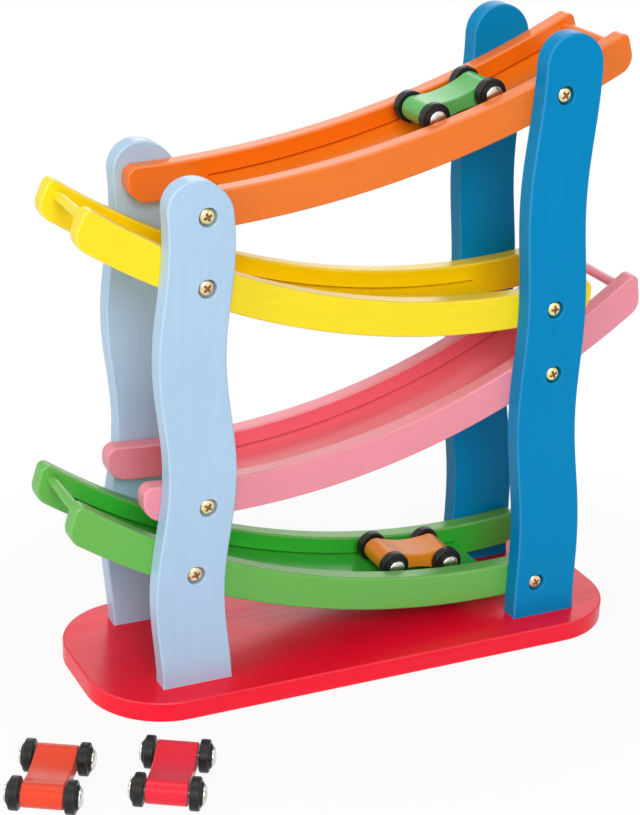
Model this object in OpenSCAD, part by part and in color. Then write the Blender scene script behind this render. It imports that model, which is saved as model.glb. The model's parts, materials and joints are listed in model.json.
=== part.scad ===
// Click clack track toy: a wooden tower with four curved ramps and four small cars.
// A car let go on the top ramp rolls down, drops through the gap at its low end
// and runs back the other way on the ramp below.
// Millimetres, +Z up, +X to the right, the front faces -Y.
// The origin is the centre of the base's underside.

/* [Base] */
// Length of the base board
base_length = 250; // [235:1:330]
// Width of the base board
base_width = 93.2; // [84:0.1:140]
// Thickness of the base board
base_thickness = 9; // [6:0.1:16]
// Radius of the base board's corners
base_corner_radius = 33.9; // [10:0.1:40]

/* [Uprights] */
// Thickness of an upright
upright_thickness = 8.9; // [8:0.1:16]
// Width of an upright at its foot
upright_width = 31.1; // [28:0.1:36]
// Narrowing of an upright, per millimetre of height
upright_taper = 0.016; // [0:0.001:0.02]
// Height of the left uprights above the orange ramp's lowest point
left_upright_height = 24.1; // [20:0.1:60]
// Height of the right uprights above the orange ramp's lowest point
right_upright_height = 71.2; // [62:0.1:110]
// Place of the left uprights' middle at the foot
left_upright_x = -85.1; // [-92:0.1:-80]
// Place of the right uprights' middle at the foot
right_upright_x = 87.8; // [82:0.1:92]
// Lean of the left uprights, per millimetre of height
left_upright_lean = 0.019; // [-0.02:0.001:0.03]
// Lean of the right uprights, per millimetre of height
right_upright_lean = -0.094; // [-0.1:0.001:-0.07]
// Bow of the left uprights at a height of one bow length
left_upright_bow = -1.4; // [-2:0.1:0.5]
// Bow of the right uprights at a height of one bow length
right_upright_bow = 2; // [1.3:0.1:2.3]
// Depth of the left uprights' waves to each side
left_wave_depth = 2.3; // [0:0.1:3]
// Depth of the right uprights' waves to each side
right_wave_depth = 1.4; // [0:0.1:3]
// Height from one wave crest to the next
wave_pitch = 101; // [80:1:140]
// Height of the left uprights' lowest crest above the base
left_wave_crest = -7; // [-20:0.1:20]
// Height of the right uprights' lowest crest above the base
right_wave_crest = 44.6; // [20:0.1:60]

/* [Ramps] */
// Clear width between a ramp's two rails
channel_width = 35; // [32.6:0.1:44]
// Thickness of a rail
rail_thickness = 7.9; // [7.2:0.1:12]
// Height of a rail
rail_height = 15.5; // [14.5:0.1:22]
// Depth of a ramp's floor below the top of its rails
floor_drop = 8.1; // [7:0.1:9.5]
// Thickness of a ramp's floor
floor_thickness = 3; // [2:0.1:4]
// Depth of the groove in a rail that holds the floor's edge
groove_depth = 2; // [1:0.1:2.4]
// Length of the gap at a ramp's low end, through which a car drops
drop_gap = 34.7; // [30:0.1:45]
// Distance from a ramp's high end to its floor, where a stop dowel closes the ramp
floor_setback = 12.9; // [11:0.1:20]
// Radius of the upper corner at a rail's low end
low_top_corner = 4.5; // [2:0.1:5]
// Radius of the lower corner at a rail's low end
low_corner = 9.2; // [4:0.1:9.4]
// Radius of the upper corner at a rail's high end
high_top_corner = 3; // [2:0.1:5]
// Radius of the lower corner at a rail's high end
high_corner = 7.5; // [4:0.1:9]

/* [Stop dowels] */
// Diameter of a stop dowel
dowel_d = 4.3; // [3:0.1:5]
// Distance of a stop dowel from the ramp's high end
dowel_inset = 5.6; // [5:0.1:7]
// Depth of a stop dowel below the top of the rails
dowel_drop = 4.8; // [4.2:0.1:5.2]
// Depth of the dowel's holes in the rails
dowel_seat = 4; // [2:0.1:5]

/* [Orange ramp] */
// Radius of the rails' lower edge
orange_radius = 479; // [460:1:520]
// Place of the arc's lowest point along the base
orange_dip_x = -106.9; // [-111:0.1:-103]
// Height of the arc's lowest point above the top of the yellow rails at this ramp's low end
orange_dip_z = 4.7; // [2:0.1:8]
// Place of the low end
orange_low_x = -95.8; // [-99:0.1:-92]
// Place of the high end at half the rail's height
orange_high_x = 110.6; // [106:0.1:116]
// Lean of the high end's cut, its top further in, in degrees
orange_end_slant = 18; // [0:1:25]

/* [Yellow ramp] */
// Radius of the rails' lower edge
yellow_radius = 340; // [325:1:360]
// Place of the arc's lowest point along the base
yellow_dip_x = 55.5; // [52:0.1:59]
// Height of the arc's lowest point above the top of the pink rails at this ramp's low end
yellow_dip_z = -3; // [-4:0.1:2]
// Place of the low end
yellow_low_x = 102.2; // [98:0.1:106]
// Place of the high end at half the rail's height
yellow_high_x = -131.3; // [-136:0.1:-127]
// Lean of the high end's cut, its top further in, in degrees
yellow_end_slant = 23; // [0:1:25]

/* [Pink ramp] */
// Radius of the rails' lower edge
pink_radius = 333; // [315:1:350]
// Place of the arc's lowest point along the base
pink_dip_x = -72.3; // [-76:0.1:-68]
// Height of the arc's lowest point above the top of the green rails at this ramp's low end
pink_dip_z = 3.5; // [0:0.1:8]
// Place of the low end
pink_low_x = -104.5; // [-109:0.1:-100]
// Place of the high end at half the rail's height
pink_high_x = 126.9; // [123:0.1:131]
// Lean of the high end's cut, its top further in, in degrees
pink_end_slant = 9; // [0:1:25]

/* [Green ramp] */
// Radius of the rails' lower edge
green_radius = 347; // [335:1:370]
// Place of the arc's lowest point along the base
green_dip_x = 63.3; // [60:0.1:67]
// Height of the arc's lowest point above the base
green_dip_z = 8; // [6:0.1:10]
// Place of the low end
green_low_x = 102.5; // [98:0.1:107]
// Place of the high end at half the rail's height
green_high_x = -134.7; // [-139:0.1:-131]
// Lean of the high end's cut, its top further in, in degrees
green_end_slant = 16; // [0:1:25]

/* [Screws] */
// Diameter of a ramp screw's head
screw_head_d = 7.2; // [5:0.1:7.4]
// Height of a ramp screw's domed head
screw_head_h = 2.3; // [1.4:0.1:2.6]
// Diameter of a ramp screw's shank
screw_d = 3; // [2:0.1:3.6]
// Length of a ramp screw inside its rail
screw_bite = 5; // [3:0.1:5.4]
// Diameter of the counterbore in an upright
counterbore_d = 8; // [7.8:0.1:9]
// Depth of the counterbore in an upright
counterbore_depth = 2.7; // [2.7:0.1:4.5]
// Height of the left screws above the lower edge of their rails, from the top ramp down
left_screw_rises = [8.4, 7.9, 8, 8.8]; // [6:0.1:10]
// Height of the right screws above the lower edge of their rails, from the top ramp down
right_screw_rises = [9, 9.1, 6.6, 8]; // [6:0.1:10]
// Sideways place of the left screws from the uprights' middle, from the top ramp down
left_screw_offsets = [2.8, 3.2, 3.2, 2]; // [-6:0.1:6]
// Sideways place of the right screws from the uprights' middle, from the top ramp down
right_screw_offsets = [-3.4, -0.8, 1.4, -4.7]; // [-6:0.1:6]
// Diameter of a base screw's countersunk head
base_screw_head_d = 6.6; // [5.5:0.1:8]
// Diameter of a base screw's shank
base_screw_d = 3.4; // [2.5:0.1:4.2]
// Length of a base screw inside an upright
base_screw_bite = 12; // [10:0.5:30]
// Distance between the two base screws of an upright
base_screw_spacing = 15; // [12:0.5:18]

/* [Cars] */
// Distance between a car's front and rear axles
wheelbase = 27.1; // [24:0.1:29]
// Width of a car's body
car_body_width = 16.6; // [14:0.1:17.5]
// Radius of the body's round ends
body_end_radius = 5.2; // [4.2:0.1:5.6]
// Thickness of the body at its waist
body_waist = 6.4; // [4.5:0.1:8]
// Diameter of a wheel
wheel_d = 13.4; // [12.4:0.1:14]
// Width of a wheel's tread
wheel_tread = 4; // [3:0.1:4.4]
// Diameter of the raised hub on a wheel's outer face
hub_d = 10; // [8.8:0.1:11]
// Height of the raised hub
hub_height = 0.6; // [0.3:0.1:1]
// Gap between the body and a wheel
wheel_gap = 0.7; // [0.4:0.1:0.9]
// Diameter of an axle nail's shank
nail_d = 2; // [1.6:0.1:2.6]
// Diameter of an axle nail's domed head
nail_head_d = 7.6; // [6:0.1:8.4]
// Height of an axle nail's domed head
nail_head_h = 1.3; // [0.8:0.1:1.5]
// Length of an axle nail inside the body
nail_seat = 6; // [4:0.1:6.5]
// Way along the orange ramp from its lowest point to the green car, in degrees
green_car_angle = 18.4; // [16:0.1:20]
// Way along the green ramp from its lowest point to the orange car, in degrees
orange_car_angle = 5.1; // [4:0.1:9]
// Place of the red-orange car on the table
coral_car_x = -161.6; // [-190:0.1:-158]
// Place of the red-orange car before the base's middle line
coral_car_y = -75; // [-110:0.1:-70]
// Place of the red car to the right of the red-orange car
red_car_x = 44.8; // [40:0.1:75]
// Place of the red car before the red-orange car
red_car_y = -15.5; // [-60:0.1:0]
// Heading of the two cars on the table, in degrees to the right of straight back
parked_heading = 30; // [20:1:40]

/* [Fits] */
// Clearance of glued and screwed pieces in their holes and grooves
seat_clearance = 0.05; // [0.02:0.01:0.1]
// Clearance of a wheel's bore round its nail
bore_clearance = 0.08; // [0.03:0.01:0.1]
// Clearance between a wheel's hub and the nail's head
head_clearance = 0.15; // [0.1:0.01:0.3]
// Gap between a wheel's tread and the floor of a ramp
rolling_gap = 0.25; // [0.2:0.01:0.4]

/* [Hidden] */
$fn = 96;
// Height over which an upright's bow is given
bow_length = 100;
// Height step of the points along an upright's wavy edge
wave_step = 4;
// Points along each long arc of a rail, each arc of a car's body and each round corner
rail_points = 48;
body_points = 24;
corner_points = 8;
// Slopes of the screws' countersinks and points
countersink_angle = 45;
point_length = 2;
// Share of a screw's or nail's head that is its straight rim
rim_share = 0.25;
dome_points = 8;
// Cross recess in a screw's head
recess_length_share = 0.62;
recess_width_share = 0.17;
recess_depth_share = 0.55;
recess_turn = 45;
// How far a cut runs past the face that it opens
cut_margin = 1;
// Distance of a recessed base screw's head from the underside
head_recess = 0.4;
// Width of a wheel's rounded shoulder and of its second hub step
shoulder = 0.8;
hub_step = 0.4;

channel_half = channel_width / 2;
rail_outer_y = channel_half + rail_thickness;
upright_outer_y = rail_outer_y + upright_thickness;
upright_mid_y = rail_outer_y + upright_thickness / 2;
wheel_r = wheel_d / 2;
body_half = car_body_width / 2;
wheel_inner_y = body_half + wheel_gap;
nail_head_y = wheel_inner_y + wheel_tread + hub_height + hub_step + head_clearance;
groove_clearance = 2 * seat_clearance;

// Climb of a rail's top edge from the arc's lowest point, at a distance along the base
function top_climb(radius, reach) = radius - sqrt(pow(radius - rail_height, 2) - reach * reach);
// Heights of the ramps' lowest points above the base, each ramp stacked on the one below
green_height = green_dip_z;
pink_height = green_height + top_climb(green_radius, pink_low_x - green_dip_x) + pink_dip_z;
yellow_height = pink_height + top_climb(pink_radius, yellow_low_x - pink_dip_x) + yellow_dip_z;
orange_height = yellow_height + top_climb(yellow_radius, orange_low_x - yellow_dip_x) + orange_dip_z;

// A ramp: colour, radius, dip place, dip height, low end, high end, slant of the high end, row from the top
ORANGE = ["darkorange", orange_radius, orange_dip_x, orange_height, orange_low_x, orange_high_x,
    orange_end_slant, 0];
YELLOW = ["gold", yellow_radius, yellow_dip_x, yellow_height, yellow_low_x, yellow_high_x,
    yellow_end_slant, 1];
PINK = ["lightcoral", pink_radius, pink_dip_x, pink_height, pink_low_x, pink_high_x,
    pink_end_slant, 2];
GREEN = ["limegreen", green_radius, green_dip_x, green_height, green_low_x, green_high_x,
    green_end_slant, 3];
RAMPS = [ORANGE, YELLOW, PINK, GREEN];

function ramp_colour(ramp) = ramp[0];
function ramp_radius(ramp) = ramp[1];
function ramp_dip_x(ramp) = ramp[2];
function ramp_dip_z(ramp) = base_thickness + ramp[3];
function ramp_slant(ramp) = ramp[6];
function ramp_row(ramp) = ramp[7];
// +1 where the ramp climbs to the right, -1 where it climbs to the left
function ramp_side(ramp) = sign(ramp[5] - ramp[4]);
// Distances from the lowest point, counted towards the high end
function ramp_low(ramp) = ramp_side(ramp) * (ramp[4] - ramp_dip_x(ramp));
function ramp_high(ramp) = ramp_side(ramp) * (ramp[5] - ramp_dip_x(ramp));
function floor_low(ramp) = ramp_low(ramp) + drop_gap;
function floor_high(ramp) = ramp_high(ramp) - floor_setback;
// Radii of a ramp's layers about the centre of its arc
function top_radius(ramp) = ramp_radius(ramp) - rail_height;
function floor_radius(ramp) = top_radius(ramp) + floor_drop;
function under_radius(ramp) = floor_radius(ramp) + floor_thickness;
function axle_radius(ramp) = floor_radius(ramp) - rolling_gap - wheel_r;
// Height above the ramp's lowest point of a circle about the arc's centre
function arc_height(ramp, radius, u) = ramp_radius(ramp) - sqrt(radius * radius - u * u);

// Middle line of an upright: a lean, a slight bow and a wave
function wave(h, depth, crest) = depth * cos(360 * (h - crest) / wave_pitch);
function left_middle(h) = left_upright_x + left_upright_lean * h
    + left_upright_bow * pow(h / bow_length, 2) + wave(h, left_wave_depth, left_wave_crest);
function right_middle(h) = right_upright_x + right_upright_lean * h
    + right_upright_bow * pow(h / bow_length, 2) + wave(h, right_wave_depth, right_wave_crest);
function middle(side, h) = side < 0 ? left_middle(h) : right_middle(h);
function half_width(h) = (upright_width - upright_taper * h) / 2;
function upright_top(side) = orange_height + (side < 0 ? left_upright_height : right_upright_height);
function foot_x(side) = side < 0 ? left_upright_x : right_upright_x;

// Height of a screw at x on its ramp, and the place of a screw on an upright
function screw_rise(ramp, side) = (side < 0 ? left_screw_rises : right_screw_rises)[ramp_row(ramp)];
function screw_line_z(ramp, side, x) = ramp_dip_z(ramp)
    + arc_height(ramp, ramp_radius(ramp) - screw_rise(ramp, side), x - ramp_dip_x(ramp));
function screw_offset(ramp, side) = (side < 0 ? left_screw_offsets : right_screw_offsets)[ramp_row(ramp)];
function screw_x(ramp, side) = middle(side, screw_line_z(ramp, side, foot_x(side)) - base_thickness)
    + screw_offset(ramp, side);
function screw_z(ramp, side) = screw_line_z(ramp, side, screw_x(ramp, side));

// Points of a circular arc, with its two ends and without them
function arc_point(centre, radius, angle) = centre + radius * [cos(angle), sin(angle)];
function arc_points(centre, radius, from, to, count) =
    [for (i = [0 : count]) arc_point(centre, radius, from + (to - from) * i / count)];
function arc_inside(centre, radius, from, to, count) =
    [for (i = [1 : count - 1]) arc_point(centre, radius, from + (to - from) * i / count)];

// Centre of a corner round at the upright low end, on a circle about the arc's centre
function low_end_centre(ramp, radius, r) =
    let (u = ramp_low(ramp) + r)
    [u, arc_height(ramp, radius, u)];
// Directions out of the slanted high end and up along it
function end_outward(ramp) = [cos(ramp_slant(ramp)), sin(ramp_slant(ramp))];
function end_upward(ramp) = [-sin(ramp_slant(ramp)), cos(ramp_slant(ramp))];
// Centre of a corner round at the high end, on a circle about the arc's centre
function high_end_centre(ramp, radius, r) =
    let (half_way = arc_height(ramp, ramp_radius(ramp) - rail_height / 2, ramp_high(ramp)))
    let (start = [ramp_high(ramp), half_way - ramp_radius(ramp)] - r * end_outward(ramp))
    let (fall = -(start * end_upward(ramp)))
    let (climb = fall - sqrt(fall * fall - start * start + radius * radius))
    [0, ramp_radius(ramp)] + start + climb * end_upward(ramp);
// Direction of a point seen from the arc's centre
function bearing(ramp, point) = atan2(point[1] - ramp_radius(ramp), point[0]);

// Side outline of a rail: two arcs about one centre, an upright low end, a slanted high end, round corners
function rail_outline(ramp) =
    let (low_bottom = low_end_centre(ramp, ramp_radius(ramp) - low_corner, low_corner))
    let (high_bottom = high_end_centre(ramp, ramp_radius(ramp) - high_corner, high_corner))
    let (high_top = high_end_centre(ramp, top_radius(ramp) + high_top_corner, high_top_corner))
    let (low_top = low_end_centre(ramp, top_radius(ramp) + low_top_corner, low_top_corner))
    let (centre = [0, ramp_radius(ramp)])
    concat(
        arc_points(low_bottom, low_corner, -180, bearing(ramp, low_bottom), corner_points),
        arc_points(centre, ramp_radius(ramp), bearing(ramp, low_bottom),
            bearing(ramp, high_bottom), rail_points),
        arc_points(high_bottom, high_corner, bearing(ramp, high_bottom), ramp_slant(ramp), corner_points),
        arc_points(high_top, high_top_corner, ramp_slant(ramp), 180 + bearing(ramp, high_top),
            corner_points),
        arc_points(centre, top_radius(ramp), bearing(ramp, high_top), bearing(ramp, low_top), rail_points),
        arc_points(low_top, low_top_corner, 180 + bearing(ramp, low_top), 180, corner_points)
    );

// Point of an upright's round top, whose middle runs on along the wave
function crown_point(side, shoulder_h, angle) =
    let (h = shoulder_h + half_width(shoulder_h) * sin(angle))
    [middle(side, h) + half_width(shoulder_h) * cos(angle), h];

// Side outline of an upright: wavy edges that draw together and a round top
function upright_outline(side) =
    let (shoulder_h = (upright_top(side) - half_width(0)) / (1 - upright_taper / 2))
    let (steps = ceil(shoulder_h / wave_step))
    let (heights = [for (i = [0 : steps - 1]) shoulder_h * i / steps])
    concat(
        [for (h = heights) [middle(side, h) + half_width(h), h]],
        [for (i = [0 : rail_points]) crown_point(side, shoulder_h, 180 * i / rail_points)],
        [for (i = [steps - 1 : -1 : 0]) [middle(side, heights[i]) - half_width(heights[i]), heights[i]]]
    );

// Stands a side outline up in the XZ plane, from y = from to y = to
module side_board(from, to) {
    translate([0, to, 0])
        rotate([90, 0, 0])
            linear_extrude(to - from)
                children();
}

// Puts a shape drawn from a ramp's lowest point, climbing to the right, where the ramp is
module on_ramp(ramp) {
    translate([ramp_dip_x(ramp), 0, ramp_dip_z(ramp)])
        mirror([ramp_side(ramp) < 0 ? 1 : 0, 0, 0])
            children();
}

// A round pin or cutter along Y at x and z
module pin_y(x, z, from, to, d) {
    translate([x, to, z])
        rotate([90, 0, 0])
            cylinder(d = d, h = to - from);
}

// Places the two base screws of an upright
module at_base_screws(side, depth_side) {
    for (shift = [-1, 1])
        translate([middle(side, 0) + shift * base_screw_spacing / 2, depth_side * upright_mid_y, 0])
            children();
}

// A countersunk screw's outline, widened by a clearance, head down at z = 0
module base_screw_shape(clearance) {
    head_r = base_screw_head_d / 2 + clearance;
    shank_r = base_screw_d / 2 + clearance;
    cone = (head_r - shank_r) * tan(countersink_angle);
    length = base_thickness + base_screw_bite + clearance;
    rotate_extrude()
        polygon([[0, head_recess - clearance], [head_r, head_recess - clearance],
            [shank_r, head_recess - clearance + cone], [shank_r, length - point_length], [0, length]]);
}

// Straight hole from the underside to the seat of a base screw's head
module base_screw_mouth() {
    translate([0, 0, -cut_margin])
        cylinder(d = base_screw_head_d + 2 * seat_clearance, h = cut_margin + head_recess);
}

module base() {
    reach = [base_length / 2 - base_corner_radius, base_width / 2 - base_corner_radius];
    color("crimson")
        difference() {
            union() {
                for (sx = [-1, 1], sy = [-1, 1])
                    translate([sx * reach[0], sy * reach[1], 0])
                        cylinder(r = base_corner_radius, h = base_thickness);
                translate([-reach[0], -base_width / 2, 0])
                    cube([2 * reach[0], base_width, base_thickness]);
                translate([-base_length / 2, -reach[1], 0])
                    cube([base_length, 2 * reach[1], base_thickness]);
            }
            for (side = [-1, 1], depth_side = [-1, 1])
                at_base_screws(side, depth_side) {
                    base_screw_shape(seat_clearance);
                    base_screw_mouth();
                }
        }
}

module upright(side, depth_side) {
    near = depth_side < 0 ? -upright_outer_y : rail_outer_y;
    color(side < 0 ? "lightsteelblue" : "steelblue")
        difference() {
            translate([0, 0, base_thickness])
                side_board(near, near + upright_thickness)
                    polygon(upright_outline(side));
            for (ramp = RAMPS)
                screw_hole(ramp, side, depth_side);
            at_base_screws(side, depth_side)
                base_screw_shape(seat_clearance);
        }
}

// Turns a shape whose axis points out of the front face to the front or the back upright's outer face
module at_screw(ramp, side, depth_side) {
    translate([screw_x(ramp, side), depth_side * upright_outer_y, screw_z(ramp, side)])
        rotate([depth_side < 0 ? 90 : -90, 0, 0])
            children();
}

// Counterbore and clearance hole of a ramp screw, z = 0 at the upright's outer face
module screw_hole(ramp, side, depth_side) {
    through = upright_thickness + screw_bite + point_length;
    at_screw(ramp, side, depth_side) {
        translate([0, 0, -counterbore_depth])
            cylinder(d = counterbore_d, h = counterbore_depth + cut_margin);
        translate([0, 0, -through])
            cylinder(d = screw_d + 2 * seat_clearance, h = through);
    }
}

// A domed cap: a straight rim and a round crown
module dome(d, h) {
    rim = h * rim_share;
    crown = h - rim;
    rotate_extrude()
        polygon(concat([[0, 0], [d / 2, 0]],
            [for (i = [0 : dome_points])
                let (a = 90 * i / dome_points) [d / 2 * cos(a), rim + crown * sin(a)]]));
}

// A cross-head screw, z = 0 at the seat of its head, pointing down
module ramp_screw() {
    shank = upright_thickness - counterbore_depth + screw_bite;
    recess = [screw_head_d * recess_length_share, screw_head_d * recess_width_share];
    difference() {
        union() {
            dome(screw_head_d, screw_head_h);
            translate([0, 0, point_length - shank])
                cylinder(d = screw_d, h = shank - point_length);
            translate([0, 0, -shank])
                cylinder(d1 = screw_d / 2, d2 = screw_d, h = point_length);
        }
        for (turn = [0, 90])
            rotate([0, 0, turn + recess_turn])
                translate([-recess[0] / 2, -recess[1] / 2, screw_head_h * (1 - recess_depth_share)])
                    cube([recess[0], recess[1], screw_head_h]);
    }
}

module ramp_screws(side, depth_side) {
    color("goldenrod")
        for (ramp = RAMPS)
            at_screw(ramp, side, depth_side)
                translate([0, 0, -counterbore_depth])
                    ramp_screw();
}

module base_screws() {
    color("silver")
        for (side = [-1, 1], depth_side = [-1, 1])
            at_base_screws(side, depth_side)
                base_screw_shape(0);
}

// Slice of a ramp's arc between two radii, from the floor's low end to its high end, widened by a clearance
module floor_slice(ramp, from, to, clearance) {
    low = floor_low(ramp) - clearance;
    high = floor_high(ramp) + clearance;
    side_board(from, to)
        intersection() {
            translate([0, ramp_radius(ramp)])
                difference() {
                    circle(r = under_radius(ramp) + clearance);
                    circle(r = floor_radius(ramp) - clearance);
                }
            translate([low, -rail_height])
                square([high - low, ramp_radius(ramp)]);
        }
}

module ramp_floor(ramp) {
    reach = channel_half + groove_depth - groove_clearance;
    color(ramp_colour(ramp))
        on_ramp(ramp)
            floor_slice(ramp, -reach, reach, 0);
}

// Stop dowel or its hole, at the ramp's high end
module dowel_pin(ramp, reach, d) {
    u = ramp_high(ramp) - dowel_inset;
    on_ramp(ramp)
        pin_y(u, arc_height(ramp, top_radius(ramp) + dowel_drop, u), -reach, reach, d);
}

module stop_dowel(ramp) {
    color(ramp_colour(ramp))
        dowel_pin(ramp, channel_half + dowel_seat - seat_clearance, dowel_d);
}

module rail(ramp, depth_side) {
    near = depth_side < 0 ? -rail_outer_y : channel_half;
    groove_y = channel_half + groove_depth;
    color(ramp_colour(ramp))
        difference() {
            on_ramp(ramp)
                side_board(near, near + rail_thickness)
                    polygon(rail_outline(ramp));
            on_ramp(ramp)
                floor_slice(ramp, -groove_y, groove_y, groove_clearance);
            dowel_pin(ramp, channel_half + dowel_seat, dowel_d + 2 * seat_clearance);
            for (side = [-1, 1])
                screw_pilot(ramp, side, depth_side);
        }
}

// Blind hole for a ramp screw in a rail
module screw_pilot(ramp, side, depth_side) {
    depth = upright_thickness + screw_bite + seat_clearance;
    at_screw(ramp, side, depth_side)
        translate([0, 0, -depth])
            cylinder(d = screw_d + 2 * seat_clearance, h = depth);
}

// A car is drawn on its own axles: +X ahead, z = 0 at the axles, the left side at +Y
module place_car(car) {
    if (car == "green")
        on_arc(ORANGE, green_car_angle)
            children();
    if (car == "orange")
        on_arc(GREEN, orange_car_angle)
            children();
    if (car == "coral")
        on_table(coral_car_x, coral_car_y)
            children();
    if (car == "red")
        on_table(coral_car_x + red_car_x, coral_car_y + red_car_y)
            children();
}

// Sets a car on a ramp's floor, its axles on one circle about the arc's centre, heading downhill
module on_arc(ramp, angle) {
    turn = ramp_side(ramp) * angle;
    chord = sqrt(pow(axle_radius(ramp), 2) - pow(wheelbase / 2, 2));
    translate([ramp_dip_x(ramp), 0, ramp_dip_z(ramp) + ramp_radius(ramp)])
        rotate([0, -turn, 0])
            translate([0, 0, -chord])
                rotate([0, 0, ramp_side(ramp) > 0 ? 180 : 0])
                    children();
}

// Sets a car on the table in front of the base
module on_table(x, y) {
    translate([x, y, wheel_r])
        rotate([0, 0, 90 - parked_heading])
            children();
}

function car_colour(car) = car == "green" ? "mediumseagreen" : car == "orange" ? "orange"
    : car == "coral" ? "tomato" : "red";

// Side outline of a car's body: round ends about the axles, joined smoothly by a hollow back and belly
module car_side() {
    half = wheelbase / 2;
    waist = body_waist / 2;
    // Circle through the waist that touches both round ends from outside
    hollow_r = (half * half + waist * waist - body_end_radius * body_end_radius)
        / (2 * (body_end_radius - waist));
    hollow_z = waist + hollow_r;
    meet = atan2(half, hollow_z);
    polygon(concat(
        arc_points([half, 0], body_end_radius, -90 - meet, 90 + meet, body_points),
        arc_inside([0, hollow_z], hollow_r, 270 + meet, 270 - meet, body_points),
        arc_points([-half, 0], body_end_radius, 90 - meet, 270 + meet, body_points),
        arc_inside([0, -hollow_z], hollow_r, 90 + meet, 90 - meet, body_points)
    ));
}

module car_body(car) {
    color(car_colour(car))
        place_car(car)
            difference() {
                side_board(-body_half, body_half)
                    car_side();
                for (end = [-1, 1], flank = [-1, 1])
                    nail_hole(end, flank);
            }
}

module nail_hole(end, flank) {
    depth = nail_seat + seat_clearance;
    from = flank < 0 ? -body_half - cut_margin : body_half - depth;
    pin_y(end * wheelbase / 2, 0, from, from + depth + cut_margin, nail_d + 2 * seat_clearance);
}

// Turns a shape whose axis points outwards to one of a car's four axles
module at_axle(end, flank) {
    translate([end * wheelbase / 2, 0, 0])
        rotate([flank < 0 ? 90 : -90, 0, 0])
            children();
}

module car_nails(car) {
    color("gainsboro")
        place_car(car)
            for (end = [-1, 1], flank = [-1, 1])
                at_axle(end, flank) {
                    translate([0, 0, body_half - nail_seat])
                        cylinder(d = nail_d, h = nail_head_y - body_half + nail_seat);
                    translate([0, 0, nail_head_y])
                        dome(nail_head_d, nail_head_h);
                }
}

// Half outline of a wheel from its bore outwards: round-shouldered tread and a hub in two steps
module wheel_profile() {
    bore_r = nail_d / 2 + bore_clearance;
    hub_r = hub_d / 2;
    step_r = (hub_d + nail_head_d) / 4;
    polygon(concat([[bore_r, 0]],
        arc_points([wheel_r - shoulder, shoulder], shoulder, 270, 360, corner_points),
        arc_points([wheel_r - shoulder, wheel_tread - shoulder], shoulder, 0, 90, corner_points),
        [[hub_r, wheel_tread], [hub_r, wheel_tread + hub_height], [step_r, wheel_tread + hub_height],
            [step_r, wheel_tread + hub_height + hub_step], [bore_r, wheel_tread + hub_height + hub_step]]));
}

module car_wheel(car, end, flank) {
    color("dimgray")
        place_car(car)
            at_axle(end, flank)
                translate([0, 0, wheel_inner_y])
                    rotate_extrude()
                        wheel_profile();
}

base();
upright(-1, -1);  // front_left_upright
upright(-1, 1);  // back_left_upright
upright(1, -1);  // front_right_upright
upright(1, 1);  // back_right_upright
rail(ORANGE, -1);  // orange_front_rail
rail(ORANGE, 1);  // orange_back_rail
ramp_floor(ORANGE);  // orange_floor
stop_dowel(ORANGE);  // orange_stop_dowel
rail(YELLOW, -1);  // yellow_front_rail
rail(YELLOW, 1);  // yellow_back_rail
ramp_floor(YELLOW);  // yellow_floor
stop_dowel(YELLOW);  // yellow_stop_dowel
rail(PINK, -1);  // pink_front_rail
rail(PINK, 1);  // pink_back_rail
ramp_floor(PINK);  // pink_floor
stop_dowel(PINK);  // pink_stop_dowel
rail(GREEN, -1);  // green_front_rail
rail(GREEN, 1);  // green_back_rail
ramp_floor(GREEN);  // green_floor
stop_dowel(GREEN);  // green_stop_dowel
ramp_screws(-1, -1);  // front_left_screws
ramp_screws(-1, 1);  // back_left_screws
ramp_screws(1, -1);  // front_right_screws
ramp_screws(1, 1);  // back_right_screws
base_screws();
for (car = ["green", "orange", "coral", "red"]) {
    car_body(car);
    car_nails(car);
    car_wheel(car, 1, 1);
    car_wheel(car, 1, -1);
    car_wheel(car, -1, 1);
    car_wheel(car, -1, -1);
}
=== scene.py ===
import json
from collections import namedtuple

import bpy
import numpy as np
from mathutils import Euler, Matrix, Vector
from mathutils.geometry import delaunay_2d_cdt


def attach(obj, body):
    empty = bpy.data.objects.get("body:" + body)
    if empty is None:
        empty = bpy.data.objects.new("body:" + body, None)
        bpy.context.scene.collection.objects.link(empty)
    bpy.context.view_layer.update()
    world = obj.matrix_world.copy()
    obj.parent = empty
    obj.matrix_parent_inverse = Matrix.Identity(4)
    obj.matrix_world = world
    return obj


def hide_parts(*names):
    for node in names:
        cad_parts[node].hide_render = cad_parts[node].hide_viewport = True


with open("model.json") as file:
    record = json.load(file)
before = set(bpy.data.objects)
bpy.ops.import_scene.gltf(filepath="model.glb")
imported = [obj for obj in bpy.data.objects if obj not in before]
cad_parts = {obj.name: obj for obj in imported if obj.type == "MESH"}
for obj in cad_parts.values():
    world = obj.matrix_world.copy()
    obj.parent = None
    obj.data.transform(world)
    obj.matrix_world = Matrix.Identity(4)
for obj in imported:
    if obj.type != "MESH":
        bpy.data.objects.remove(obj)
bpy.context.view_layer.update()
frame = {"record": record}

# What the record says of each node.
SLOT_OF = {part["node"]: part["material_slot"] for part in frame["record"]["subparts"]}
BODY_OF = {node: body for body, nodes in frame["record"]["behaviour"]["bodies"].items() for node in nodes}

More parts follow.
